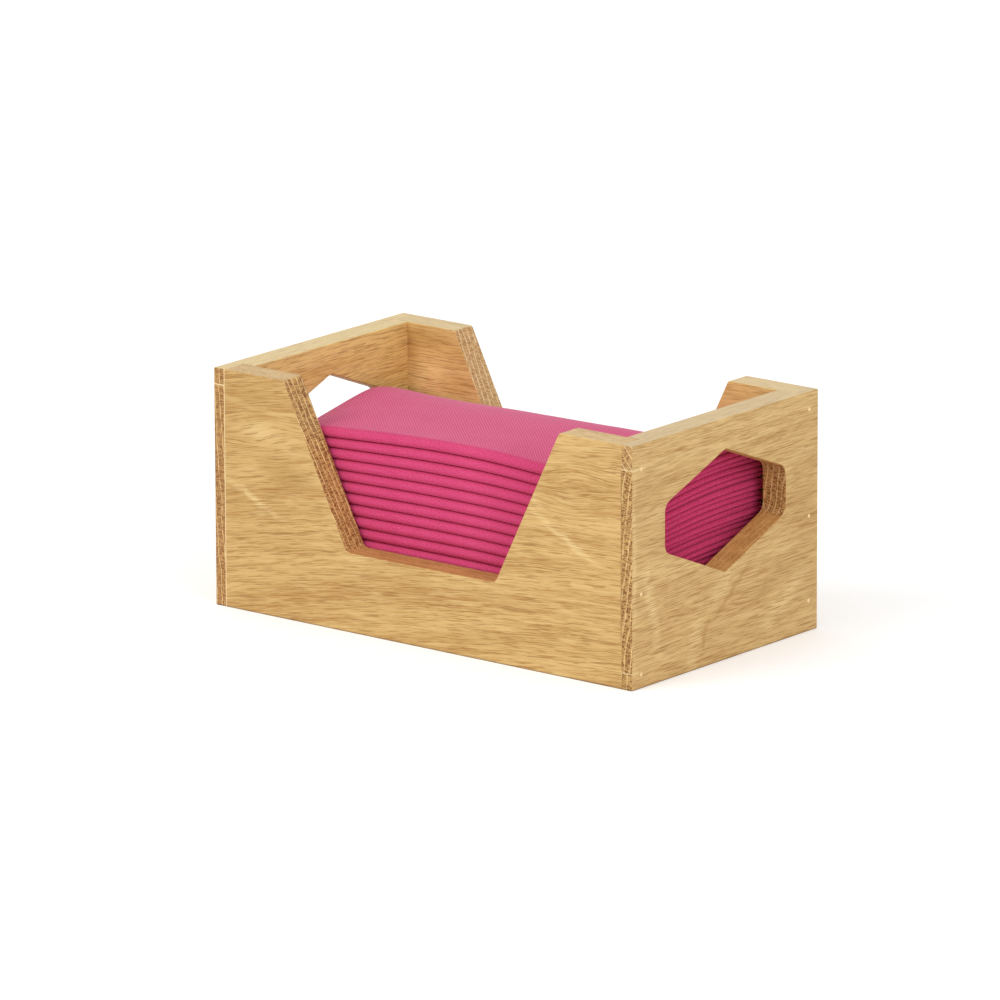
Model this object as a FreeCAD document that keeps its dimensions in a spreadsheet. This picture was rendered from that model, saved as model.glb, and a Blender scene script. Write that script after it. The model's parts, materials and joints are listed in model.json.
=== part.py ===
import FreeCAD, Part
import os
import Sketcher
from FreeCAD import Placement, Rotation, Vector

# Open-topped oak napkin box with a stack of folded napkins in it.
# Frame: +X along the length, -Y the front with the finger notch, +Z up. The origin is
# the middle of the footprint, on the surface that the box stands on. Millimetres.

doc = FreeCAD.newDocument("napkin_box")

# ---------------------------------------------------------------- driving dimensions

SIZES = [
    # box
    ("length", 237.5, "outside, left to right"),
    ("depth", 134.3, "outside, front to back"),
    ("height", 110.0, "all four walls"),
    ("board", 13.0, "thickness of every wall"),
    ("tongue", 5.8, "end board left standing beside each rebate"),
    ("easing", 0.5, "rounding of the edges that a hand meets"),
    # finger notch in the front and back panels
    ("mouth_width", 156.4, "between the slopes, at the top edge"),
    ("sill_width", 84.4, "between the slopes, at the sill"),
    ("sill_height", 36.6, "of the sill above the table"),
    ("mouth_radius", 2.0, "where the slopes meet the top edge"),
    ("sill_radius", 4.0, "where the slopes meet the sill"),
    # six-sided hand hole in each end
    ("hole_width", 87.0, "between its upright sides"),
    ("hole_foot", 40.0, "height of its lower point"),
    ("hole_head", 96.0, "height of its upper point"),
    ("side_foot", 57.8, "height where the upright sides start"),
    ("side_head", 79.2, "height where the upright sides end"),
    ("hole_radius", 5.0, "its four side corners"),
    ("point_radius", 2.0, "its upper and lower points"),
    # heights of the glue seams between the staves of the end boards
    ("right_top_seam", 99.0, "middle and top stave, right end"),
    ("left_top_seam", 102.5, "main and top stave, left end"),
    # bottom panel and the groove that it is let into
    ("floor_height", 7.6, "underside of the panel, and the low seam of the right end"),
    ("floor_board", 5.0, "its thickness"),
    ("groove_depth", 5.0, "into each wall"),
    ("floor_play", 0.5, "room at the foot of the groove, for the wood to move"),
    # brads through the tongues, and the plugs over their heads
    ("brad_radius", 0.9, "brad and plug"),
    ("brad_length", 27.0, "brad alone"),
    ("plug_length", 1.5, "plug alone"),
    ("brad_inset", 6.5, "from the front or back face to the brad's line"),
    # folded napkins: 400 mm squares in eighths
    ("napkin_length", 200.0, "along the box"),
    ("napkin_depth", 99.0, "across the box"),
    ("napkin_thickness", 4.9, "eight plies"),
    ("napkin_pitch", 5.2, "from one napkin to the next"),
    ("napkin_gap", 0.3, "under the lowest napkin"),
    ("front_gap", 1.3, "from the front wall to the folds"),
]

NAPKINS = 15
SAME = 0.01  # places closer than this are the same place

# Heights of the three brads at each corner: (end, wall) to heights. One is on a seam.
BRAD_HEIGHTS = {
    ("left", "front"): (6.4, 46.0, 96.0),
    ("left", "back"): (14.1, 50.0, 97.0),
    ("right", "front"): (6.4, 42.6, 98.8),
    ("right", "back"): (14.1, 53.1, 101.9),
}

sheet = doc.addObject("Spreadsheet::Sheet", "Sizes")
value = {}
for row, (name, size, note) in enumerate(SIZES, start=1):
    sheet.set(f"A{row}", name)
    sheet.set(f"B{row}", str(size))
    sheet.set(f"C{row}", note)
    sheet.setAlias(f"B{row}", name)
    value[name] = size
doc.recompute()

subparts = []

# ---------------------------------------------------------------- shared steps


def new_body(label):
    body = doc.addObject("PartDesign::Body", label)
    body.Label = label
    subparts.append(body)
    return body


def new_sketch(body, name, plane, offset=None):
    """A sketch on one of the body's origin planes, moved along its normal by an expression."""
    sketch = body.newObject("Sketcher::SketchObject", name)
    for feature in body.Origin.OriginFeatures:
        if feature.Role == plane:
            sketch.AttachmentSupport = [(feature, "")]
    sketch.MapMode = "FlatFace"
    if offset:
        sketch.setExpression("AttachmentOffset.Base.z", offset)
    return sketch


def draw_polygon(sketch, corners, mirrored=(), axis=-2):
    """Closed outline whose line i runs from corner i to the next one.

    Upright and level lines stay so. The pairs of corners in mirrored stay symmetric about
    the sketch's own upright axis (-2) or level axis (-1). That already settles a line that
    joins such a pair, and one whose mirror image is settled.
    """
    count = len(corners)
    partner = dict(mirrored) | {second: first for first, second in mirrored}
    settled = []
    for i, (x, y) in enumerate(corners):
        after = (i + 1) % count
        next_x, next_y = corners[after]
        sketch.addGeometry(Part.LineSegment(Vector(x, y, 0), Vector(next_x, next_y, 0)))
        settled.append((i, after))
        if (partner.get(after), partner.get(i)) in settled:
            continue
        if y == next_y:
            sketch.addConstraint(Sketcher.Constraint("Horizontal", i))
        elif x == next_x:
            sketch.addConstraint(Sketcher.Constraint("Vertical", i))
    for i in range(count):
        sketch.addConstraint(Sketcher.Constraint("Coincident", i, 2, (i + 1) % count, 1))
    for first, second in mirrored:
        sketch.addConstraint(Sketcher.Constraint("Symmetric", first, 1, second, 1, axis))


def bind(sketch, name, kind, *place_and_size):
    """A named dimension whose last argument is the spreadsheet expression that drives it."""
    *place, size, expression = place_and_size
    index = sketch.addConstraint(Sketcher.Constraint(kind, *place, size))
    sketch.renameConstraint(index, name)
    sketch.setExpression(f"Constraints.{name}", expression)


def pad(body, sketch, length, midplane=False, backwards=False):
    feature = body.newObject("PartDesign::Pad", f"{sketch.Name}_pad")
    feature.Profile = sketch
    feature.setExpression("Length", length)
    feature.SideType = "Symmetric" if midplane else "One side"
    feature.Reversed = backwards
    doc.recompute()
    return feature


def pocket(body, sketch, length, midplane=False, backwards=False):
    """Cuts, and stops the build if nothing came off."""
    before = body.Shape.Volume
    feature = body.newObject("PartDesign::Pocket", f"{sketch.Name}_pocket")
    feature.Profile = sketch
    feature.setExpression("Length", length)
    feature.SideType = "Symmetric" if midplane else "One side"
    feature.Reversed = backwards
    doc.recompute()
    if feature.Shape.Volume >= before:
        raise RuntimeError(f"{feature.Name} cuts nothing")
    return feature


def round_edges(body, name, radius, wanted):
    """Rounds the edges of the body's tip for which wanted(edge) is true."""
    tip = body.Tip
    edges = [f"Edge{i}" for i, edge in enumerate(tip.Shape.Edges, start=1) if wanted(edge)]
    if not edges:
        raise RuntimeError(f"{name} finds no edge")
    feature = body.newObject("PartDesign::Fillet", name)
    feature.Base = (tip, edges)
    feature.setExpression("Radius", radius)
    doc.recompute()
    return feature


def spans(edge, axis):
    """The edge's lowest and highest value along x, y or z."""
    box = edge.BoundBox
    return getattr(box, f"{axis}Min"), getattr(box, f"{axis}Max")


def lies_at(edge, axis, place):
    """True if the whole edge has this x, y or z."""
    low, high = spans(edge, axis)
    return abs(low - place) < SAME and abs(high - place) < SAME


def brad_bores(sketch, places):
    """One circle for each (level, height), level being the sketch's x."""
    for i, (level, height) in enumerate(places):
        circle = Part.Circle(Vector(level, height, 0), Vector(0, 0, 1), value["brad_radius"])
        sketch.addGeometry(circle)
        bind(sketch, f"radius_{i}", "Radius", i, value["brad_radius"], "Sizes.brad_radius")
        sketch.addConstraint(Sketcher.Constraint("DistanceX", -1, 1, i, 3, level))
        sketch.addConstraint(Sketcher.Constraint("DistanceY", -1, 1, i, 3, height))


def cut_floor_groove(body, plane, face, face_text, run_text):
    """The bottom panel's groove. The board's inner face is at x = face in the sketch."""
    foot = face - value["groove_depth"]
    low = value["floor_height"]
    high = low + value["floor_board"]
    sketch = new_sketch(body, f"{body.Label}_groove", plane)
    draw_polygon(sketch, [(foot, low), (face, low), (face, high), (foot, high)])
    origin_to_face = (-1, 1, 1, 1) if face > 0 else (1, 1, -1, 1)
    bind(sketch, "face", "DistanceX", *origin_to_face, abs(face), face_text)
    bind(sketch, "deep", "DistanceX", 0, 1, 0, 2, value["groove_depth"], "Sizes.groove_depth")
    bind(sketch, "foot", "DistanceY", -1, 1, 0, 1, low, "Sizes.floor_height")
    bind(sketch, "wide", "DistanceY", 1, 1, 1, 2, value["floor_board"], "Sizes.floor_board")
    pocket(body, sketch, run_text, midplane=True)


# ---------------------------------------------------------------- front and back panels
# Oak boards with the finger notch cut down from the top edge. Their ends sit in the
# rebates of the end boards, and the bottom panel's groove runs along their inner faces.
# Each is drawn as the front panel; the back one is the same board turned half round.


def make_long_panel(label, wall, turned):
    body = new_body(label)
    half_width = value["length"] / 2 - value["tongue"]
    top = value["height"]
    outer_face = -value["depth"] / 2
    inner_face = outer_face + value["board"]
    mouth = value["mouth_width"] / 2
    sill = value["sill_width"] / 2
    sill_level = value["sill_height"]

    outline = new_sketch(body, f"{label}_outline", "XZ_Plane", "Sizes.depth / 2")
    draw_polygon(outline, [
        (-half_width, 0), (half_width, 0), (half_width, top), (mouth, top),
        (sill, sill_level), (-sill, sill_level), (-mouth, top), (-half_width, top),
    ], mirrored=((0, 1), (3, 6), (4, 5)))
    outline.addConstraint(Sketcher.Constraint("PointOnObject", 0, 1, -1))
    bind(outline, "width", "DistanceX", 0, 1, 0, 2, 2 * half_width, "Sizes.length - 2 * Sizes.tongue")
    bind(outline, "top", "DistanceY", 1, 1, 1, 2, top, "Sizes.height")
    bind(outline, "mouth", "DistanceX", 5, 2, 3, 1, 2 * mouth, "Sizes.mouth_width")
    bind(outline, "sill", "DistanceX", 5, 1, 4, 1, 2 * sill, "Sizes.sill_width")
    bind(outline, "sill_level", "DistanceY", -1, 1, 4, 1, sill_level, "Sizes.sill_height")
    pad(body, outline, "Sizes.board", backwards=True)

    def is_notch_corner(edge, x, z):
        return lies_at(edge, "X", x) and lies_at(edge, "Z", z)

    round_edges(body, f"{label}_mouth_corners", "Sizes.mouth_radius",
                lambda edge: any(is_notch_corner(edge, side * mouth, top) for side in (-1, 1)))
    round_edges(body, f"{label}_sill_corners", "Sizes.sill_radius",
                lambda edge: any(is_notch_corner(edge, side * sill, sill_level) for side in (-1, 1)))

    def is_eased(edge):
        on_a_face = lies_at(edge, "Y", outer_face) or lies_at(edge, "Y", inner_face)
        at_a_joint = any(lies_at(edge, "X", side * half_width) for side in (-1, 1))
        return on_a_face and not at_a_joint

    round_edges(body, f"{label}_eased", "Sizes.easing", is_eased)

    cut_floor_groove(body, "YZ_Plane", inner_face, "Sizes.depth / 2 - Sizes.board", "2 * Sizes.length")

    brad_level = outer_face + value["brad_inset"]
    for side, end in ((1, "right"), (-1, "left")):
        # A turned panel's own right is the box's left.
        box_end = {"left": "right", "right": "left"}[end] if turned else end
        place = "Sizes.length / 2 - Sizes.tongue"
        sketch = new_sketch(body, f"{label}_{end}_bores", "YZ_Plane",
                            place if side > 0 else f"-({place})")
        brad_bores(sketch, [(brad_level, height) for height in BRAD_HEIGHTS[box_end, wall]])
        pocket(body, sketch, "Sizes.plug_length + Sizes.brad_length - Sizes.tongue",
               backwards=side < 0)

    body.Placement = Placement(Vector(), Rotation(Vector(0, 0, 1), 180 if turned else 0))


make_long_panel("front_panel", "front", turned=False)
make_long_panel("back_panel", "back", turned=True)

# ---------------------------------------------------------------- end boards
# Each end is glued up from staves, with a rebate at both ends for the long panels. The
# tongue that the rebate leaves shows as a strip of end grain on the front of the box.
# A stave is drawn with its outer face at x = 0 and its inner face towards +x, as at the
# left; those of the right end are turned half round.


def make_stave(label, foot, head, turned):
    """foot and head are the expressions and the values of its lower and upper edge."""
    body = new_body(label)
    foot_text, foot_level = foot
    head_text, head_level = head
    half_depth = value["depth"] / 2
    inside = half_depth - value["board"]
    tongue = value["tongue"]
    board = value["board"]

    plan = new_sketch(body, f"{label}_plan", "XY_Plane", foot_text)
    draw_polygon(plan, [
        (0, -half_depth), (tongue, -half_depth), (tongue, -inside), (board, -inside),
        (board, inside), (tongue, inside), (tongue, half_depth), (0, half_depth),
    ], mirrored=((0, 7), (2, 5)), axis=-1)
    plan.addConstraint(Sketcher.Constraint("PointOnObject", 0, 1, -2))
    bind(plan, "deep", "DistanceY", 0, 1, 7, 1, 2 * half_depth, "Sizes.depth")
    bind(plan, "inside", "DistanceY", 2, 1, 5, 1, 2 * inside, "Sizes.depth - 2 * Sizes.board")
    bind(plan, "tongue", "DistanceX", 0, 1, 1, 1, tongue, "Sizes.tongue")
    bind(plan, "thick", "DistanceX", 0, 1, 3, 1, board, "Sizes.board")
    pad(body, plan, f"{head_text} - ({foot_text})")

    has_hole = foot_level < value["hole_foot"] and head_level > value["hole_head"]
    if has_hole:
        cut_hand_hole(body, label)

    def is_eased(edge):
        """Top and base edges, the upright outer corners, and the rim of the hand hole."""
        front, back = spans(edge, "Y")
        low, high = spans(edge, "Z")
        upright = back - front < SAME
        on_outer_face = lies_at(edge, "X", 0)
        on_inner_face = lies_at(edge, "X", board)
        if lies_at(edge, "Z", value["height"]) or lies_at(edge, "Z", 0):
            at_a_joint = lies_at(edge, "X", tongue) or upright and abs(abs(front) - inside) < SAME
            return not at_a_joint
        if upright and abs(abs(front) - half_depth) < SAME:
            return on_outer_face
        beside_hole = low > value["hole_foot"] - SAME and high < value["hole_head"] + SAME
        return has_hole and beside_hole and (on_outer_face or on_inner_face)

    round_edges(body, f"{label}_eased", "Sizes.easing", is_eased)

    if foot_level <= value["floor_height"] < head_level:
        cut_floor_groove(body, "XZ_Plane", board, "Sizes.board", "2 * Sizes.depth")

    # A turned stave has its front at +y until it is placed.
    back_level = half_depth - value["brad_inset"]
    if turned:
        back_level = -back_level
    end = "right" if turned else "left"
    bores = [(-back_level, height) for height in BRAD_HEIGHTS[end, "front"]]
    bores += [(back_level, height) for height in BRAD_HEIGHTS[end, "back"]]
    radius = value["brad_radius"]
    bores = [(level, height) for level, height in bores
             if foot_level - radius < height < head_level + radius]
    if bores:
        sketch = new_sketch(body, f"{label}_bores", "YZ_Plane")
        brad_bores(sketch, bores)
        pocket(body, sketch, "Sizes.tongue", backwards=True)

    if turned:
        body.Placement = Placement(Vector(), Rotation(Vector(0, 0, 1), 180))
    body.setExpression("Placement.Base.x", "Sizes.length / 2" if turned else "-Sizes.length / 2")


def cut_hand_hole(body, label):
    """Six-sided hole with upright sides and a point above and below."""
    half = value["hole_width"] / 2
    hole = new_sketch(body, f"{label}_hole", "YZ_Plane")
    draw_polygon(hole, [
        (-half, value["side_foot"]), (0, value["hole_foot"]), (half, value["side_foot"]),
        (half, value["side_head"]), (0, value["hole_head"]), (-half, value["side_head"]),
    ], mirrored=((0, 2), (3, 5)))
    hole.addConstraint(Sketcher.Constraint("PointOnObject", 1, 1, -2))
    hole.addConstraint(Sketcher.Constraint("PointOnObject", 4, 1, -2))
    bind(hole, "wide", "DistanceX", 0, 1, 2, 1, 2 * half, "Sizes.hole_width")
    bind(hole, "foot", "DistanceY", -1, 1, 1, 1, value["hole_foot"], "Sizes.hole_foot")
    bind(hole, "head", "DistanceY", -1, 1, 4, 1, value["hole_head"], "Sizes.hole_head")
    bind(hole, "side_foot", "DistanceY", -1, 1, 2, 1, value["side_foot"], "Sizes.side_foot")
    bind(hole, "side_head", "DistanceY", -1, 1, 3, 1, value["side_head"], "Sizes.side_head")
    pocket(body, hole, "Sizes.board", backwards=True)

    def goes_through(edge):
        near, far = spans(edge, "X")
        return far - near > value["board"] - SAME

    def is_side_corner(edge):
        return goes_through(edge) and any(lies_at(edge, "Y", side * half) for side in (-1, 1))

    def is_point(edge):
        return goes_through(edge) and lies_at(edge, "Y", 0)

    round_edges(body, f"{label}_hole_corners", "Sizes.hole_radius", is_side_corner)
    round_edges(body, f"{label}_hole_points", "Sizes.point_radius", is_point)


base_edge = ("0", 0.0)
top_edge = ("Sizes.height", value["height"])
left_top_seam = ("Sizes.left_top_seam", value["left_top_seam"])
right_low_seam = ("Sizes.floor_height", value["floor_height"])
right_top_seam = ("Sizes.right_top_seam", value["right_top_seam"])

make_stave("left_end_main_stave", base_edge, left_top_seam, turned=False)
make_stave("left_end_top_stave", left_top_seam, top_edge, turned=False)
make_stave("right_end_bottom_stave", base_edge, right_low_seam, turned=True)
make_stave("right_end_middle_stave", right_low_seam, right_top_seam, turned=True)
make_stave("right_end_top_stave", right_top_seam, top_edge, turned=True)

# ---------------------------------------------------------------- bottom panel
# A thin oak board let dry into the grooves, short of their foot all round.

bottom = doc.addObject("Part::Box", "bottom_panel")
bottom.Label = "bottom_panel"
reach = "(Sizes.board - Sizes.groove_depth + Sizes.floor_play)"
bottom.setExpression("Length", f"Sizes.length - 2 * {reach}")
bottom.setExpression("Width", f"Sizes.depth - 2 * {reach}")
bottom.setExpression("Height", "Sizes.floor_board")
bottom.setExpression("Placement.Base.x", f"-Sizes.length / 2 + {reach}")
bottom.setExpression("Placement.Base.y", f"-Sizes.depth / 2 + {reach}")
bottom.setExpression("Placement.Base.z", "Sizes.floor_height")
subparts.append(bottom)

# ---------------------------------------------------------------- brads and plugs
# Three brads at each corner go through the tongue into the end grain of the long panel.
# Their heads are set below the surface and covered with plugs of filler.


def make_pins(label, length, start):
    """Twelve rods along X, each from start inside the outer face, as one group of solids."""
    rods = []
    for (end, wall), heights in BRAD_HEIGHTS.items():
        along = 1 if end == "right" else -1
        across = 1 if wall == "back" else -1
        for height in heights:
            rod = doc.addObject("Part::Cylinder", f"{label}_{len(rods) + 1}")
            rod.setExpression("Radius", "Sizes.brad_radius")
            rod.setExpression("Height", length)
            rod.Placement = Placement(Vector(), Rotation(Vector(0, 1, 0), -90 * along))
            rod.setExpression("Placement.Base.x", f"{along} * (Sizes.length / 2 - {start})")
            rod.setExpression("Placement.Base.y", f"{across} * (Sizes.depth / 2 - Sizes.brad_inset)")
            rod.setExpression("Placement.Base.z", str(height))
            rods.append(rod)
    group = doc.addObject("Part::Compound", label)
    group.Label = label
    group.Links = rods
    subparts.append(group)


make_pins("corner_brads", "Sizes.brad_length", "Sizes.plug_length")
make_pins("brad_hole_plugs", "Sizes.plug_length", "0")

# ---------------------------------------------------------------- napkins
# Each is a soft square folded in eighths: a flat pack whose last fold, fully rounded, is
# at the front. They lie one on another on the bottom panel.

thickness = value["napkin_thickness"]
front_edge = value["board"] + value["front_gap"] - value["depth"] / 2
fold_centre = front_edge + thickness / 2
back_edge = front_edge + value["napkin_depth"]

for number in range(NAPKINS):
    label = f"napkin_{number + 1:02d}"
    body = new_body(label)
    section = new_sketch(body, f"{label}_section", "YZ_Plane")
    fold_foot = Vector(fold_centre, 0, 0)
    back_foot = Vector(back_edge, 0, 0)
    back_head = Vector(back_edge, thickness, 0)
    fold_head = Vector(fold_centre, thickness, 0)
    section.addGeometry(Part.LineSegment(fold_foot, back_foot))
    section.addGeometry(Part.LineSegment(back_foot, back_head))
    section.addGeometry(Part.LineSegment(back_head, fold_head))
    section.addGeometry(Part.Arc(fold_head, Vector(front_edge, thickness / 2, 0), fold_foot))
    section.addConstraint([
        Sketcher.Constraint("Coincident", 0, 2, 1, 1),
        Sketcher.Constraint("Coincident", 1, 2, 2, 1),
        Sketcher.Constraint("Tangent", 2, 2, 3, 1),
        Sketcher.Constraint("Tangent", 3, 2, 0, 1),
        Sketcher.Constraint("Horizontal", 0),
        Sketcher.Constraint("Vertical", 1),
        Sketcher.Constraint("Horizontal", 2),
        Sketcher.Constraint("PointOnObject", 0, 1, -1),
    ])
    bind(section, "thick", "DistanceY", 1, 1, 1, 2, thickness, "Sizes.napkin_thickness")
    bind(section, "run", "DistanceX", 0, 1, 0, 2, back_edge - fold_centre,
         "Sizes.napkin_depth - Sizes.napkin_thickness / 2")
    bind(section, "back", "DistanceX", -1, 1, 0, 2, back_edge,
         "Sizes.board + Sizes.front_gap - Sizes.depth / 2 + Sizes.napkin_depth")
    pad(body, section, "Sizes.napkin_length", midplane=True)
    body.setExpression(
        "Placement.Base.z",
        "Sizes.floor_height + Sizes.floor_board + Sizes.napkin_gap"
        f" + {number} * Sizes.napkin_pitch")

# ---------------------------------------------------------------- checks and export

doc.recompute()
for item in doc.Objects:
    if "Invalid" in item.State or "Error" in item.State:
        raise RuntimeError(f"{item.Label} did not compute: {item.State}")

os.makedirs("parts", exist_ok=True)
for subpart in subparts:
    shape = subpart.Shape
    if shape.isNull() or not shape.isValid():
        raise RuntimeError(f"{subpart.Label} has no valid shape")
    shape.exportStep(f"parts/{subpart.Label}.step")
    box = shape.BoundBox
    print(f"{subpart.Label:26s} {shape.Volume / 1000:9.2f} cm3  "
          f"x {box.XMin:8.2f} {box.XMax:8.2f}  y {box.YMin:7.2f} {box.YMax:7.2f}  "
          f"z {box.ZMin:7.2f} {box.ZMax:7.2f}")
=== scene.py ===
import json
import math

import bpy
import numpy as np
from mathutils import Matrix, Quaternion, Vector


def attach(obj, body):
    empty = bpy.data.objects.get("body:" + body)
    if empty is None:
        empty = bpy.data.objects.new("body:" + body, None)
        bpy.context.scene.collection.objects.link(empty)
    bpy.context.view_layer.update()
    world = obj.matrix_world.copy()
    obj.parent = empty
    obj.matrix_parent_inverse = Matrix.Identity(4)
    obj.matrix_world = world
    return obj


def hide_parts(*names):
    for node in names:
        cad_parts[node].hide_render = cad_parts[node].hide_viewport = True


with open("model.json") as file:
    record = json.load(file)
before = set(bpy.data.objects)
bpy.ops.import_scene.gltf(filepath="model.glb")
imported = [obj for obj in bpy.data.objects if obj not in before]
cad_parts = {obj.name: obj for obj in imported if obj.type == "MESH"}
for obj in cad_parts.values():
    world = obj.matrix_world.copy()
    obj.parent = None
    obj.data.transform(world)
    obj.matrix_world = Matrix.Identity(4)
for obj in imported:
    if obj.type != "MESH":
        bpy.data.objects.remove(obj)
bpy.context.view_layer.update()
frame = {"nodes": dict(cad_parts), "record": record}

# An open-topped oak napkin box with a stack of folded napkins in it, on a white studio floor.
# Metres, +X along the length, -Y the front. Names that end in _mm and pattern sizes are in mm.

nodes = frame["nodes"]


# ---- Front and back panels ------------------------------------------------------------
# Quarter-sawn European oak, 13 mm thick, planed and sanded, then rubbed with a thin matt
# oil. Each has a finger notch routed in its upper edge, and a tongue at each end.


def hex_to_linear(colour):
    """sRGB hex, such as "d4ad70", to the linear RGBA that a shader socket takes."""
    channels = [int(colour[i:i + 2], 16) / 255 for i in (0, 2, 4)]
    linear = [c / 12.92 if c <= 0.04045 else ((c + 0.055) / 1.055) ** 2.4 for c in channels]
    return (*linear, 1.0)


def add(tree, kind, inputs=None, **settings):
    """Adds a node. Settings are its attributes; inputs are values, or the sockets to link from."""
    node = tree.nodes.new(kind)
    for name, value in settings.items():
        setattr(node, name, value)
    for socket, value in (inputs or {}).items():
        if isinstance(value, bpy.types.NodeSocket):
            tree.links.new(value, node.inputs[socket])
        else:
            node.inputs[socket].default_value = value
    return node


def noise(tree, vector, sizes, detail=2.0, roughness=0.5, turn=0.0):
    """Noise whose features are about the given sizes, in mm, along the vector's three axes."""
    place = add(tree, "ShaderNodeMapping", {
        "Vector": vector, "Rotation": (0, 0, math.radians(turn)), "Scale": [1 / size for size in sizes]})
    texture = add(tree, "ShaderNodeTexNoise", {
        "Vector": place.outputs[0], "Scale": 1.0, "Detail": detail, "Roughness": roughness})
    return texture.outputs["Fac"]


def ramp(tree, value, start, end, low=0.0, high=1.0):
    """low where the value is under start, high where it is over end, and even in between."""
    node = add(tree, "ShaderNodeMapRange", {"Value": value, 1: start, 2: end, 3: low, 4: high})
    return node.outputs[0]


def math_node(tree, operation, first, second=0.0, third=0.0):
    node = add(tree, "ShaderNodeMath", {0: first, 1: second, 2: third}, operation=operation)
    return node.outputs[0]


def tint(tree, share, under, over, blend="MIX"):
    """Mixes two colours; each is a socket or sRGB hex."""
    under, over = (hex_to_linear(c) if isinstance(c, str) else c for c in (under, over))
    mix = add(tree, "ShaderNodeMix", {0: share, 6: under, 7: over}, data_type="RGBA", blend_type=blend)
    return mix.outputs[2]


def scale_vector(tree, vector, factor):
    return add(tree, "ShaderNodeVectorMath", {0: vector, 3: factor}, operation="SCALE").outputs[0]


def add_vectors(tree, first, second):
    return add(tree, "ShaderNodeVectorMath", {0: first, 1: second}, operation="ADD").outputs[0]


def ellipse(tree, vector, along_mm, height_mm, half_length, half_width, turn=0.0):
    """Distance from the middle of an ellipse on the board's face: 1 on its outline."""
    inside = add(tree, "ShaderNodeMapping", {
        "Vector": vector, "Location": (along_mm, height_mm, 0), "Rotation": (0, 0, math.radians(turn)),
        "Scale": (half_length, half_width, 1000)}, vector_type="TEXTURE")
    reach = add(tree, "ShaderNodeVectorMath", {0: inside.outputs[0]}, operation="LENGTH")
    return reach.outputs["Value"]


def end_grain(tree, board, offset, lean, cut):
    """Rows of pores across the board's thickness, and pale rays in line with its face.

    There is a broad ray about every 3 mm, with fine ones between. Returns the colour, and the
    shares of the broad and the fine rays.
    """
    turned = add(tree, "ShaderNodeMapping", {"Vector": board, "Rotation": (math.radians(lean), 0, 0)})
    place = add_vectors(tree, turned.outputs[0], offset)
    depth = add(tree, "ShaderNodeSeparateXYZ", {0: place}).outputs["Z"]
    depth = math_node(tree, "MULTIPLY_ADD", noise(tree, place, (200, 16, 6)), 3.0, depth)
    rows = noise(tree, place, (60, 0.60, 2.2), detail=2.0, roughness=0.6)
    specks = noise(tree, place, (4, 0.6, 0.6), detail=1.0)
    broken = noise(tree, place, (60, 2.6, 1.5), detail=2.0)
    broad_rays = ramp(tree, math_node(tree, "PINGPONG", depth, 1.55), 0.32, 0.12)
    fine_rays = ramp(tree, math_node(tree, "PINGPONG", depth, 0.5), 0.20, 0.05)
    fine_share = math_node(tree, "MULTIPLY", fine_rays, ramp(tree, broken, 0.42, 0.60, 0.0, 0.6))
    broad_share = math_node(tree, "MULTIPLY", broad_rays, ramp(tree, broken, 0.36, 0.55, 0.35, 0.95))
    wood_cut, pore_cut, ray_cut = cut
    end = tint(tree, ramp(tree, rows, 0.45, 0.56), wood_cut, pore_cut)
    end = tint(tree, ramp(tree, specks, 0.52, 0.70, 0.0, 0.6), end, pore_cut)
    end = tint(tree, fine_share, end, ray_cut)
    end = tint(tree, broad_share, end, ray_cut)
    return end, broad_share, fine_share


PANEL_HEIGHT_MM = 110
# A pale grey painted on the top edge as sheen.
TOP_SHEEN_GREY = "d6c5a2"
PORE_BROWN = "9e7139"
PALE_FIBRE = "e2c084"
PALE_RAY = "e0bf80"
# A dark brown painted along the lower arris as contact shadow.
PAINTED_CONTACT_SHADOW = "6b5030"


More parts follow.
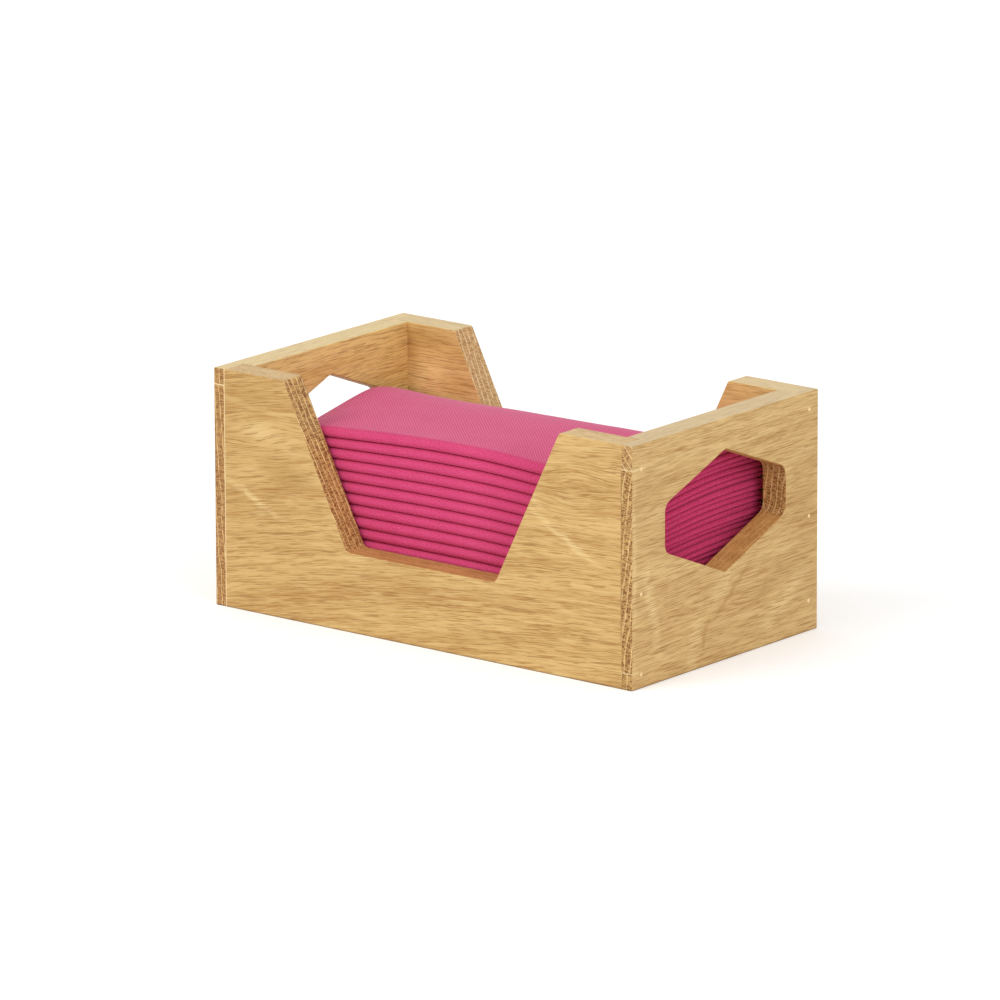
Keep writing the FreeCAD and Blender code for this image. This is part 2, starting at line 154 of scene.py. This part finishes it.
def oak(name, grain, offset, slope=0.0, curve=0.0, lean=4.0, eyes=(), patches=(), traces=(),
        pore_mm=0.36, pore_depth=0.80, woods=("bd9254", "d3ad6c"), cut=("c49858", "84562a", "f0ce8c"),
        routed_shade="ecd2c0", top_sheen_share=0.50):
    """Oiled oak with its grain along "x" or "y".

    offset moves the pattern, in mm, so that no two boards match. slope and curve are the rise of
    the grain along the board, and lean tilts the rays in the end grain, in degrees. An eye is a
    place that the grain runs round: its place along the board and height, two half widths, and
    its strength. A patch has the same first four numbers, then a turn in degrees, a share and a
    colour. A trace is a thin line at a joint: its axis and place, then another axis and the range
    that it shows over, its share and its colour. woods are the darkest and palest tones of the
    face, and cut the end grain's three colours: wood, pores and rays. pore_mm is the pores'
    width, and pore_depth how dark they are. The routed colour is a painted shade over the routed
    edges, and the top share is how much a painted sheen pales the top edge.
    """
    material = bpy.data.materials.new(name)
    material.use_nodes = True
    tree = material.node_tree
    shader = tree.nodes["Principled BSDF"]

    place = add(tree, "ShaderNodeTexCoord")
    mm = scale_vector(tree, place.outputs["Object"], 1000.0)
    axes = add(tree, "ShaderNodeSeparateXYZ", {0: mm})
    along, thick = ("X", "Y") if grain == "x" else ("Y", "X")
    board = add(tree, "ShaderNodeCombineXYZ", {
        0: axes.outputs[along], 1: axes.outputs["Z"], 2: axes.outputs[thick]}).outputs[0]
    moved = add_vectors(tree, board, offset)
    parts = add(tree, "ShaderNodeSeparateXYZ", {0: moved})

    # The grain wanders: a long drift of 2 mm, and a short ripple of 0.5 mm.
    drift = math_node(tree, "MULTIPLY_ADD", noise(tree, moved, (110, 38, 38)), 4.2, 0.0)
    drift = math_node(tree, "MULTIPLY_ADD", noise(tree, moved, (19, 6, 6)), 1.3, drift)
    rise = math_node(tree, "MULTIPLY_ADD", axes.outputs[along], -curve, -slope)
    drift = math_node(tree, "MULTIPLY_ADD", axes.outputs[along], rise, drift)
    for along_mm, height_mm, half_length, half_width, strength in eyes:
        reach = ellipse(tree, board, along_mm, height_mm, half_length, half_width)
        dome = add(tree, "ShaderNodeMapRange", {
            "Value": reach, 1: 1.5, 2: 0.0, 3: 0.0, 4: strength}, interpolation_type="SMOOTHSTEP")
        above = math_node(tree, "SUBTRACT", height_mm, axes.outputs["Z"])
        drift = math_node(tree, "MULTIPLY_ADD", above, dome.outputs[0], drift)
    height = math_node(tree, "ADD", parts.outputs["Y"], drift)
    flow = add(tree, "ShaderNodeCombineXYZ", {
        0: parts.outputs["X"], 1: height, 2: parts.outputs["Z"]}).outputs[0]

    # Broad bands of tone, growth rings 2 to 3 mm wide, and pores cut lengthways, 10 mm long and
    # about 0.3 mm wide in the wood. They are drawn a little wider so that they show.
    bands = noise(tree, flow, (150, 8, 9), detail=2.0)
    rings = noise(tree, flow, (110, 2.3, 14), detail=2.0, roughness=0.6)
    pores = noise(tree, flow, (10.0, pore_mm, pore_mm), detail=2.0, roughness=0.5)
    fibres = noise(tree, flow, (18, 1.6 * pore_mm, 1.6 * pore_mm), detail=3.0, roughness=0.65)
    tone = math_node(tree, "MULTIPLY_ADD", rings, 0.35, math_node(tree, "MULTIPLY", bands, 0.65))
    face = tint(tree, ramp(tree, tone, 0.42, 0.58), *woods)
    face = tint(tree, ramp(tree, fibres, 0.44, 0.60, 0.0, 0.50), face, PALE_FIBRE)

    # Ray flecks: pale wisps that run down across the grain, and hide the pores.
    wisps = noise(tree, moved, (26, 4.5, 4.5), detail=2.0, turn=26)
    wisp_share = ramp(tree, wisps, 0.56, 0.72, 0.0, 0.55)
    face = tint(tree, wisp_share, face, PALE_RAY)

    # Patches with a ragged outline, which strays by up to 3 mm.
    wander = add(tree, "ShaderNodeTexNoise", {"Vector": moved, "Scale": 0.11, "Detail": 3.0})
    wander = add(tree, "ShaderNodeVectorMath", {
        0: wander.outputs["Color"], 1: (0.5, 0.5, 0.5)}, operation="SUBTRACT")
    strayed = add_vectors(tree, board, scale_vector(tree, wander.outputs[0], 7.0))
    for *outline, share, colour in patches:
        soft = ramp(tree, ellipse(tree, strayed, *outline), 1.15, 0.35)
        soft = math_node(tree, "MULTIPLY", soft, ramp(tree, fibres, 0.30, 0.60, share * 0.5, share))
        face = tint(tree, soft, face, colour)

    ring_share = ramp(tree, rings, 0.40, 0.62, 1.0, 0.72)
    pore_share = math_node(tree, "MULTIPLY", ramp(tree, pores, 0.50, 0.61, 0.0, pore_depth), ring_share)
    clear = math_node(tree, "MULTIPLY_ADD", wisp_share, -0.8, 1.0)
    pore_share = math_node(tree, "MULTIPLY", pore_share, clear)
    face = tint(tree, pore_share, face, PORE_BROWN)

    normal = add(tree, "ShaderNodeSeparateXYZ", {0: place.outputs["Normal"]})
    toward_end = math_node(tree, "ABSOLUTE", normal.outputs[along])
    toward_side = math_node(tree, "ABSOLUTE", normal.outputs[thick])
    end_share = add(tree, "ShaderNodeMapRange", {
        "Value": toward_end, 1: 0.25, 2: 0.80}, interpolation_type="SMOOTHSTEP").outputs[0]

    # The sanded top edge is paled by a painted sheen. The routed edges are darkened by painted
    # shade, and the rays show on them as lines. The lower arris is darkened by a painted contact
    # shadow.
    end, broad_share, fine_share = end_grain(tree, board, offset, lean, cut)
    upper = ramp(tree, axes.outputs["Z"], PANEL_HEIGHT_MM - 3.0, PANEL_HEIGHT_MM - 0.4)
    edge = ramp(tree, toward_side, 0.85, 0.30)
    painted_sheen_share = math_node(tree, "MULTIPLY", math_node(tree, "MULTIPLY", upper, edge), top_sheen_share)
    routed_share = math_node(tree, "MULTIPLY", math_node(tree, "SUBTRACT", 1.0, upper), edge)
    face = tint(tree, painted_sheen_share, face, TOP_SHEEN_GREY)
    face = tint(tree, routed_share, face, routed_shade, blend="MULTIPLY")
    ray_share = math_node(tree, "MAXIMUM", broad_share, fine_share)
    line_share = math_node(tree, "MULTIPLY", ray_share, routed_share)
    face = tint(tree, math_node(tree, "MULTIPLY", line_share, 0.6), face, cut[2])
    wood = tint(tree, end_share, face, end)
    # Painted contact shadow darkens the lower arris.
    wood = tint(tree, ramp(tree, axes.outputs["Z"], 0.9, 0.3, 0.0, 0.55), wood, PAINTED_CONTACT_SHADOW)

    for axis, line_mm, range_axis, start_mm, end_mm, share, colour in traces:
        away = math_node(tree, "ABSOLUTE", math_node(tree, "SUBTRACT", axes.outputs[axis], line_mm))
        inside = math_node(tree, "MULTIPLY", ramp(tree, axes.outputs[range_axis], start_mm - 1, start_mm),
                           ramp(tree, axes.outputs[range_axis], end_mm + 1, end_mm))
        line = math_node(tree, "MULTIPLY", ramp(tree, away, 0.45, 0.15, 0.0, share), inside)
        wood = tint(tree, line, wood, colour)
    tree.links.new(wood, shader.inputs["Base Color"])

    # Pores are hollows a few hundredths of a mm deep; the oil leaves them duller than the rest.
    bump = add(tree, "ShaderNodeBump", {"Strength": 0.35, "Distance": 0.0001, "Height": pores}, invert=True)
    tree.links.new(bump.outputs[0], shader.inputs["Normal"])
    tree.links.new(ramp(tree, pores, 0.35, 0.70, 0.50, 0.72), shader.inputs["Roughness"])
    shader.inputs["IOR"].default_value = 1.5
    shader.inputs["Specular IOR Level"].default_value = 0.35
    return material


def dress(name, material):
    nodes[name].data.materials.clear()
    nodes[name].data.materials.append(material)


PANEL_END_MM = 112.95
FLECK = "e8ca8e"
DARK_STREAK = "ae8345"
GLUE = "efd5a2"
JOINT_SHADOW = "7d5426"
front_oak = oak(
    "quarter_sawn_oak_front", "x", (40, 12, 0), slope=0.12, curve=-0.0003, top_sheen_share=0.25,
    eyes=((-91, 84, 20, 9, 0.62), (86, 86, 17, 11, 0.60)),
    patches=((-100, 62, 46, 58, 0, 0.24, DARK_STREAK),
             (82, 63, 26, 1.8, -27, 0.75, FLECK), (64, 78, 9, 2.0, -35, 0.45, FLECK),
             (-96, 53, 22, 2.0, -24, 0.75, FLECK), (-92, 84, 15, 6.0, 0, 0.50, FLECK),
             (-76, 66, 17, 7.0, -6, 0.60, DARK_STREAK), (-74, 50, 20, 3.0, 8, 0.4, DARK_STREAK),
             (-100, 101, 18, 3.0, 2, 0.5, DARK_STREAK), (20, 8, 60, 3.0, 7, 0.35, DARK_STREAK)),
    traces=(("X", -PANEL_END_MM + 0.2, "Z", 0, PANEL_HEIGHT_MM, 0.75, GLUE),
            ("X", PANEL_END_MM - 0.15, "Z", 22, 98, 0.55, JOINT_SHADOW)))
dress("front_panel", front_oak)
# The back panel's wood and end-grain colours are paler than the front's, and its pale patch at the left is
# brighter still: painted light on its inner face.
dress("back_panel", oak(
    "quarter_sawn_oak_back", "x", (-310, 55, 90), slope=0.03, lean=-6.0, pore_mm=0.36, pore_depth=0.70,
    woods=("d0aa60", "dfbd76"), cut=("cfa870", "a87d4c", "ead09e"),
    patches=((-94, 86, 15, 12, 0, 1.0, "f8d892"), (-92, 104, 18, 3.5, 0, 0.50, DARK_STREAK))))


# ---- Left end board -------------------------------------------------------------------
# Two oak staves glued edge to edge, with a hand hole routed through. The glue line shows as a
# short cream trace only where it meets the corner.

LEFT_SEAM_MM = 102.5
FRONT_MM = -67.15
# The left board's wood tones are paler than the front's, as painted light on its inner face.
LEFT_LIT_WOODS = ("dbb665", "ebcc7f")
LEFT_CUT = ("b98a50", "8c5c2c", "e2bc80")
left_trace = ("Z", LEFT_SEAM_MM, "Y", FRONT_MM - 1, FRONT_MM + 0.4, 0.9, GLUE)
dress("left_end_main_stave", oak(
    "quarter_sawn_oak_left", "y", (505, -30, 20), pore_mm=0.36, pore_depth=0.72,
    woods=LEFT_LIT_WOODS, cut=LEFT_CUT, traces=(left_trace, )))
dress("left_end_top_stave", oak(
    "quarter_sawn_oak_left_top", "y", (90, 300, 44), woods=LEFT_LIT_WOODS, cut=LEFT_CUT, traces=(left_trace, )))


# ---- Right end board ------------------------------------------------------------------
# Three oak staves glued edge to edge, with the same hand hole. A pale band beside the front
# corner is a painted highlight, and glue shows at both seams for 10 mm from it.

RIGHT_TOP_SEAM_MM = 99.0
RIGHT_LOW_SEAM_MM = 7.6
RIGHT_WOODS = ("c39c60", "d2af73")
RIGHT_CUT = ("c39a5a", "7c4f22", "e4c084")
# The right board's routed edges take a lighter painted shade.
RIGHT_ROUTED_SHADE = "ffeecb"
# A pale band beside the front corner, painted as a highlight.
corner_highlight = (FRONT_MM + 1.5, 55, 1.6, 60, 0, 0.55, FLECK)
top_trace = ("Z", RIGHT_TOP_SEAM_MM, "Y", FRONT_MM - 1, FRONT_MM + 9, 0.6, GLUE)
low_trace = ("Z", RIGHT_LOW_SEAM_MM, "Y", FRONT_MM - 1, FRONT_MM + 4, 0.5, GLUE)
dress("right_end_bottom_stave", oak(
    "quarter_sawn_oak_right_low", "y", (700, 14, 61), lean=-8.0, pore_mm=0.34, pore_depth=0.80,
    woods=RIGHT_WOODS, cut=RIGHT_CUT, routed_shade=RIGHT_ROUTED_SHADE, traces=(low_trace, ),
    patches=((-24, 6, 14, 5.0, 78, 0.50, FLECK), )))
dress("right_end_middle_stave", oak(
    "quarter_sawn_oak_right", "y", (-220, -90, 33), slope=0.015, lean=-9.0, pore_mm=0.34, pore_depth=0.80,
    woods=RIGHT_WOODS, cut=RIGHT_CUT, routed_shade=RIGHT_ROUTED_SHADE, traces=(low_trace, top_trace),
    patches=((58, 60, 16, 60, 0, 0.24, DARK_STREAK), corner_highlight,
             (-53, 34, 24, 3.6, -76, 0.65, FLECK), (0, 37, 20, 4.5, 38, 0.55, FLECK),
             (5, 31, 20, 1.8, 38, 0.65, DARK_STREAK), (12, 47, 7, 2.5, 55, 0.60, DARK_STREAK),
             (-22, 16, 14, 5.0, 76, 0.50, FLECK), (-15, 13, 11, 1.8, 76, 0.55, DARK_STREAK),
             (42, 18, 27, 5.0, 34, 0.55, FLECK), (36, 30, 24, 6.0, 20, 0.30, DARK_STREAK),
             (-38, 90, 24, 2.2, 8, 0.50, DARK_STREAK), (34, 95, 30, 2.2, 5, 0.50, DARK_STREAK),
             (58, 84, 12, 3.0, 0, 0.45, FLECK), (54, 62, 12, 8.0, 0, 0.35, DARK_STREAK))))
dress("right_end_top_stave", oak(
    "quarter_sawn_oak_right_top", "y", (160, 410, 8), slope=-0.02, lean=38.0, pore_mm=0.34, pore_depth=0.80,
    woods=RIGHT_WOODS, cut=("c0965a", "8c6034", "e4c68e"), routed_shade=RIGHT_ROUTED_SHADE, traces=(top_trace, )))


# ---- Bottom panel ---------------------------------------------------------------------
# A thin oak board, held by its edges in grooves in the four walls, with a little play.

dress("bottom_panel", oak("oak_bottom_panel", "x", (900, 200, -40)))


# ---- Brads ----------------------------------------------------------------------------
# Drawn steel brads, 1.8 mm thick, pin the tongues at the corners. Their heads are set in.

brad_steel = bpy.data.materials.new("drawn_steel")
brad_steel.use_nodes = True
tree = brad_steel.node_tree
shader = tree.nodes["Principled BSDF"]
place = add(tree, "ShaderNodeTexCoord")
scratches = add(tree, "ShaderNodeTexNoise", {
    "Vector": place.outputs["Object"], "Scale": 2500.0, "Detail": 3.0})
tree.links.new(tint(tree, scratches.outputs["Fac"], "9b9c9e", "b6b7b9"), shader.inputs["Base Color"])
tree.links.new(ramp(tree, scratches.outputs["Fac"], 0.3, 0.7, 0.28, 0.45), shader.inputs["Roughness"])
shader.inputs["Metallic"].default_value = 1.0
dress("corner_brads", brad_steel)


# ---- Brad hole plugs ------------------------------------------------------------------
# Dabs of pale wood filler over the brads' heads, sanded flush, with a slightly grainy surface.

filler = bpy.data.materials.new("wood_filler")
filler.use_nodes = True
tree = filler.node_tree
shader = tree.nodes["Principled BSDF"]
place = add(tree, "ShaderNodeTexCoord")
grit = add(tree, "ShaderNodeTexNoise", {
    "Vector": place.outputs["Object"], "Scale": 1800.0, "Detail": 3.0})
tree.links.new(tint(tree, grit.outputs["Fac"], "e8c48a", "f4d8a8"), shader.inputs["Base Color"])
tree.links.new(ramp(tree, grit.outputs["Fac"], 0.3, 0.7, 0.6, 0.8), shader.inputs["Roughness"])
dress("brad_hole_plugs", filler)


# ---- Napkins --------------------------------------------------------------------------
# Dyed airlaid napkins, 400 mm square, folded in half, in half again crosswise, and once
# more lengthways, so that the last fold is at the front and two folds show at the right.

MM = 0.001
SIDE = 400.0
PLY_PITCH = 0.645
PLY_THICKNESS = 0.46
NAPKIN_DEPTH = 99.0
NAPKIN_PITCH = 5.2
STACK_FOOT = 12.9
STACK_HEIGHT = 77.9
FRONT_EDGE = -52.85
BACK_EDGE = FRONT_EDGE + NAPKIN_DEPTH


def fold(along, across, crease, thickness, press=1.0):
    """Folds a stack of that thickness up and over at the crease. Returns the new along and across.

    across is the distance from the stack's middle. A ply keeps its length round the bend, so the
    outer ones end short of the inner ones. press above 1 flattens the bend's nose.
    """
    radius = thickness / 2 - across
    turn = np.clip(math.pi / 2 + (along - crease) / radius, 0, math.pi)
    start = crease - math.pi * radius / 2
    base = crease - math.pi * thickness / 4
    before = np.minimum(along - start, 0)
    after = np.maximum(along - (2 * crease - start), 0)
    nose = np.sin(turn) ** (1 / press)
    side = np.sign(np.cos(turn)) * np.abs(np.cos(turn)) ** (1 / press)
    return base + radius * nose + before - after, -radius * side


def grid_lines(creases):
    """Places of the mesh lines over the sheet's side, close together at each (crease, reach)."""
    lines = set(np.linspace(0, SIDE, 81).round(3))
    for crease, reach in creases:
        lines = {line for line in lines if abs(line - crease) > reach + 1.0}
        steps = np.linspace(0, 1, 7) ** 1.4 * reach
        lines |= {round(crease + sign * step, 3) for step in steps for sign in (-1, 1)}
    return np.array(sorted(lines))


def bend(value, start, width):
    """0 well under the start, then a soft bend into a slope of 1."""
    return width * np.logaddexp(0, (value - start) / width)


LEFT_SLOPE = 0.0632
LEFT_CURVE = 0.0109
BACK_SLOPE = 0.42
RIGHT_SLOPE = 0.060


def sag(x, y, z):
    """How far a point of the pile, in mm, lies below its place in an even stack.

    The open edges at the left and the back are thinner than the folded ones, so the pile falls
    toward them, and its front corners droop.
    """
    level = np.clip((z - STACK_FOOT) / STACK_HEIGHT, 0, 1.1)
    to_front = np.clip((BACK_EDGE - y) / NAPKIN_DEPTH, 0, 1)
    left = LEFT_SLOPE * bend(-x, 8.5, 8.0) * to_front ** 0.85
    left_edge = LEFT_CURVE * np.clip(-x - 70, 0, None) ** 2 * np.clip(to_front - 0.10, 0, 0.65)
    sharp = np.maximum(np.clip((-x - 75) / 25, 0, 1), np.clip((x + 5) / 45, 0, 1))
    back = BACK_SLOPE * bend(y, 19.7 + 1.3 * sharp, 7.3 - 3.2 * sharp)
    back = back * (1 - 0.9 * np.clip((x - 56) / 38, 0, 1) ** 1.5)
    right = RIGHT_SLOPE * bend(x, 27, 6.0) * np.clip((42 - y) / 62, 0, 1) ** 2
    return (left + left_edge) * level ** 2.3 + back * level ** 3 + right * level ** 0.4


TOP_LEAN = 1.8
TOP_SKEW = 0.045
SKEW_FROM = -40.0
BUMP_HEIGHT = 0.28
END_WAVER = 0.5
END_INSET = 0.6


def lay(x, y, z, number, dice):
    """Puts a folded napkin in its place in the pile, a little out of line, and lets it sag.

    The top few lean back at the right and are askew at the left. One smooth field of sag and
    bumps runs through the whole pile, so that no napkin cuts into the next.
    """
    y = y - y.min() + FRONT_EDGE + dice.uniform(0.0, 0.5)
    back_lean = TOP_LEAN * np.clip((number - 8) / 3, 0, 1) * np.clip((x - 60) / 30, 0, 1)
    y = y + (dice.uniform(1.8, 3.2) + back_lean) * np.clip((y - 20) / 26, 0, 1)
    x = x - (x.min() + x.max()) / 2 + dice.uniform(-0.6, 0.6)
    z = z + STACK_FOOT + (number + 0.5) * NAPKIN_PITCH - 0.1

    # A napkin that lies askew has moved most at its front left corner. The sag is laid out for
    # the top ones before that move, so for it every point is taken back by as much as theirs.
    skew = dice.uniform(0.0, 0.04) if number < 12 else TOP_SKEW
    from_back = BACK_EDGE - y
    x = x + skew * from_back * np.clip((SKEW_FROM - x) / 60, 0, 1)
    even = x - TOP_SKEW * from_back * np.clip((SKEW_FROM - x) / 56, 0, 1)

    above_foot = z - STACK_FOOT
    bumps = BUMP_HEIGHT * np.sin(even / 14 + z / 3.3) * np.sin(y / 17 + z / 4.9 + 1)
    bumps = bumps * np.clip((y - FRONT_EDGE) / 20, 0.25, 1) * np.clip(above_foot / 6, 0, 1)
    fallen = z + bumps - sag(even, y, z) + 0.3 * np.clip(above_foot / STACK_HEIGHT, 0, 1)
    waver = END_WAVER * np.sin(z * 0.86 + 1.3 * np.sin(z / 5)) - END_INSET
    return x + waver * np.clip((x - 60) / 40, 0, 1), y, fallen


def folded_napkin(name, number, dice):
    """The whole sheet, folded flat as a closed shell, then laid on the pile."""
    u_lines = grid_lines([(200, 1.6)])
    v_lines = grid_lines([(100, 3.7), (200, 0.6), (300, 3.7)])
    u, v = np.meshgrid(u_lines, v_lines, indexing="ij")
    ply = PLY_PITCH * dice.uniform(0.985, 1.015)
    v1, h1 = fold(v, np.zeros_like(v), 200, ply)
    u1, h2 = fold(u, h1, 200, 2 * ply, press=1.15)
    v2, h3 = fold(v1, h2, 100, 4 * ply)
    flat_folded = np.stack([u1 - 100, -v2, h3], axis=-1)

    mesh = bpy.data.meshes.new(name)
    index = np.arange(u.size).reshape(u.shape)
    quads = np.stack([index[:-1, :-1], index[1:, :-1], index[1:, 1:], index[:-1, 1:]], axis=-1)
    mesh.from_pydata(flat_folded.reshape(-1, 3).tolist(), [], quads.reshape(-1, 4).tolist())
    uv = mesh.uv_layers.new(name="flat")
    loop_vertices = np.zeros(len(mesh.loops), dtype=np.int32)
    mesh.loops.foreach_get("vertex_index", loop_vertices)
    flat = np.stack([u, v], axis=-1).reshape(-1, 2)[loop_vertices] / SIDE
    uv.data.foreach_set("uv", flat.ravel())
    napkin = bpy.data.objects.new(name, mesh)
    bpy.context.scene.collection.objects.link(napkin)

    bpy.ops.object.select_all(action="DESELECT")
    bpy.context.view_layer.objects.active = napkin
    napkin.select_set(True)
    thicken = napkin.modifiers.new("ply", "SOLIDIFY")
    thicken.thickness = PLY_THICKNESS
    thicken.offset = 0
    bpy.ops.object.modifier_apply(modifier="ply")

    points = np.zeros(len(napkin.data.vertices) * 3)
    napkin.data.vertices.foreach_get("co", points)
    laid = np.stack(lay(*points.reshape(-1, 3).T, number, dice), axis=-1)
    napkin.data.vertices.foreach_set("co", (laid * MM).ravel())
    napkin.data.update()
    bpy.ops.object.shade_smooth_by_angle(angle=math.radians(50))
    return napkin


LINE_PITCH = 1.15
DASH_LENGTH = 3.0
WAVE_SCALE = math.pi / 10


def airlaid():
    """Dyed airlaid paper: matt, slightly fuzzy, embossed with slanting lines 1.15 mm apart.

    A wave texture of scale 1 repeats every pi / 10 units.
    """
    material = bpy.data.materials.new("dyed_airlaid")
    material.use_nodes = True
    tree = material.node_tree
    shader = tree.nodes["Principled BSDF"]
    place = add(tree, "ShaderNodeTexCoord")
    flat = scale_vector(tree, place.outputs["UV"], SIDE)
    slant = add(tree, "ShaderNodeMapping", {"Vector": flat, "Rotation": (0, 0, math.radians(-45))})
    across = add(tree, "ShaderNodeTexWave", {
        "Vector": slant.outputs[0], "Scale": WAVE_SCALE / LINE_PITCH,
        "Distortion": 1.2, "Detail": 1.0, "Detail Scale": 0.6})
    length = add(tree, "ShaderNodeTexWave", {
        "Vector": slant.outputs[0], "Scale": WAVE_SCALE / DASH_LENGTH,
        "Distortion": 3.0, "Detail": 1.0, "Detail Scale": 0.9}, bands_direction="Y")
    dashes = math_node(tree, "SUBTRACT", across.outputs["Fac"], 0.5)
    dashes = math_node(tree, "MULTIPLY", dashes, ramp(tree, length.outputs["Fac"], 0.0, 1.0, 0.3, 1.0))

    # The creases are pressed nearly flat: two at the front, a quarter of the way in from the
    # sides, and one halfway along that shows at the right.
    sides = add(tree, "ShaderNodeSeparateXYZ", {0: flat})
    from_front = math_node(tree, "ADD", sides.outputs["Y"], SIDE / 4)
    from_front = math_node(tree, "PINGPONG", from_front, SIDE / 4)
    from_right = math_node(tree, "ABSOLUTE", math_node(tree, "SUBTRACT", sides.outputs["X"], SIDE / 2))
    dashes = math_node(tree, "MULTIPLY", dashes, ramp(tree, from_front, 3.5, 8.0, 0.22, 1.0))
    dashes = math_node(tree, "MULTIPLY", dashes, ramp(tree, from_right, 2.5, 6.0, 0.22, 1.0))
    fibre = noise(tree, flat, (0.8, 0.8, 0.8), detail=3.0, roughness=0.65)
    cloud = noise(tree, flat, (16, 16, 16))
    texture = math_node(tree, "MULTIPLY_ADD", fibre, 1.0, math_node(tree, "MULTIPLY", dashes, 0.62))
    texture = math_node(tree, "MULTIPLY_ADD", cloud, 0.2, texture)
    # The napkins' right-hand fold ends are darkened, as painted shade.
    texture = math_node(tree, "ADD", texture, ramp(tree, from_right, 1.0, 3.0, -0.12, 0.0))
    share = ramp(tree, texture, 0.20, 1.0)
    dyed = tint(tree, share, "b01c54", "e65f8b")
    tree.links.new(dyed, shader.inputs["Base Color"])
    bump = add(tree, "ShaderNodeBump", {"Strength": 0.5, "Distance": 0.00012, "Height": texture})
    tree.links.new(bump.outputs[0], shader.inputs["Normal"])
    tree.links.new(ramp(tree, fibre, 0.3, 0.7, 0.88, 1.0), shader.inputs["Roughness"])
    shader.inputs["Specular IOR Level"].default_value = 0.1
    fuzz = math_node(tree, "MINIMUM", ramp(tree, from_front, 3.6, 5.5, 0.02, 0.24),
                     ramp(tree, from_right, 1.0, 3.0, 0.02, 0.24))
    tree.links.new(fuzz, shader.inputs["Sheen Weight"])
    shader.inputs["Sheen Roughness"].default_value = 0.5
    shader.inputs["Sheen Tint"].default_value = hex_to_linear("e8e0f0")
    return material


bodies = frame["record"]["behaviour"]["bodies"]
paper = airlaid()
for number, node in enumerate(sorted(bodies["napkin_stack"] + bodies["top_napkin"])):
    piece = folded_napkin(f"folded_{node}", number, np.random.default_rng(40 + number))
    piece.data.materials.append(paper)
    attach(piece, "top_napkin" if node in bodies["top_napkin"] else "napkin_stack")
    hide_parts(node)


# ---- Studio ---------------------------------------------------------------------------
# A white floor under soft, even light from all round, with broad lamps at the front left and
# the right. The floor shines a little to the camera, so that only the shadow shows on it.

floor_white = bpy.data.materials.new("white_floor")
floor_white.use_nodes = True
tree = floor_white.node_tree
shader = tree.nodes["Principled BSDF"]
shader.inputs["Base Color"].default_value = (0.90, 0.90, 0.90, 1)
shader.inputs["Roughness"].default_value = 0.9
shader.inputs["Specular IOR Level"].default_value = 0.0
shader.inputs["Emission Color"].default_value = (1, 1, 1, 1)
FLOOR_GLOW = 0.22
path = add(tree, "ShaderNodeLightPath")
glow = math_node(tree, "MULTIPLY", path.outputs["Is Camera Ray"], FLOOR_GLOW)
tree.links.new(glow, shader.inputs["Emission Strength"])

bpy.ops.object.select_all(action="DESELECT")
bpy.ops.mesh.primitive_plane_add(size=30, location=(0, 0, 0))
floor = bpy.context.object
floor.name = "floor"
floor.data.materials.append(floor_white)

AMBIENT = 0.78
world = bpy.data.worlds.new("white_surround")
bpy.context.scene.world = world
world.use_nodes = True
tree = world.node_tree
background = tree.nodes["Background"]
path = add(tree, "ShaderNodeLightPath")
seen = math_node(tree, "MAXIMUM", path.outputs["Is Camera Ray"], path.outputs["Is Glossy Ray"])
seen = math_node(tree, "MAXIMUM", seen, path.outputs["Is Transmission Ray"])
tree.links.new(ramp(tree, seen, 0.0, 1.0, AMBIENT, 1.0), background.inputs["Strength"])
background.inputs["Color"].default_value = (1, 1, 1, 1)


def lamp(name, place, width, power, aim=(0, 0, 0.05)):
    light = bpy.data.lights.new(name, "AREA")
    light.shape = "DISK"
    light.size = width
    light.energy = power
    holder = bpy.data.objects.new(name, light)
    holder.location = place
    holder.rotation_mode = "QUATERNION"
    holder.rotation_quaternion = (Vector(place) - Vector(aim)).to_track_quat("Z", "Y")
    bpy.context.scene.collection.objects.link(holder)


lamp("key", (-0.6, -1.9, 1.7), 1.6, 21)
lamp("fill", (2.2, -0.9, 1.2), 1.6, 16.5)

CAMERA_AIM = Vector((-0.0050, -0.0044, 0.0539))
CAMERA_AZIMUTH = math.radians(38.735)
CAMERA_ELEVATION = math.radians(14.460)
CAMERA_ROLL = math.radians(-0.181)
CAMERA_DISTANCE = 4.4038

away = Vector((
    math.sin(CAMERA_AZIMUTH) * math.cos(CAMERA_ELEVATION),
    -math.cos(CAMERA_AZIMUTH) * math.cos(CAMERA_ELEVATION),
    math.sin(CAMERA_ELEVATION)))
camera = bpy.data.objects.new("camera", bpy.data.cameras.new("camera"))
camera.data.sensor_width = 36
camera.data.lens = 354.8
camera.data.clip_end = 50
camera.location = CAMERA_AIM + away * CAMERA_DISTANCE
camera.rotation_mode = "QUATERNION"
camera.rotation_quaternion = away.to_track_quat("Z", "Y") @ Quaternion((0, 0, 1), CAMERA_ROLL)
bpy.context.scene.collection.objects.link(camera)
bpy.context.scene.camera = camera
bpy.context.scene.view_settings.view_transform = "Standard"
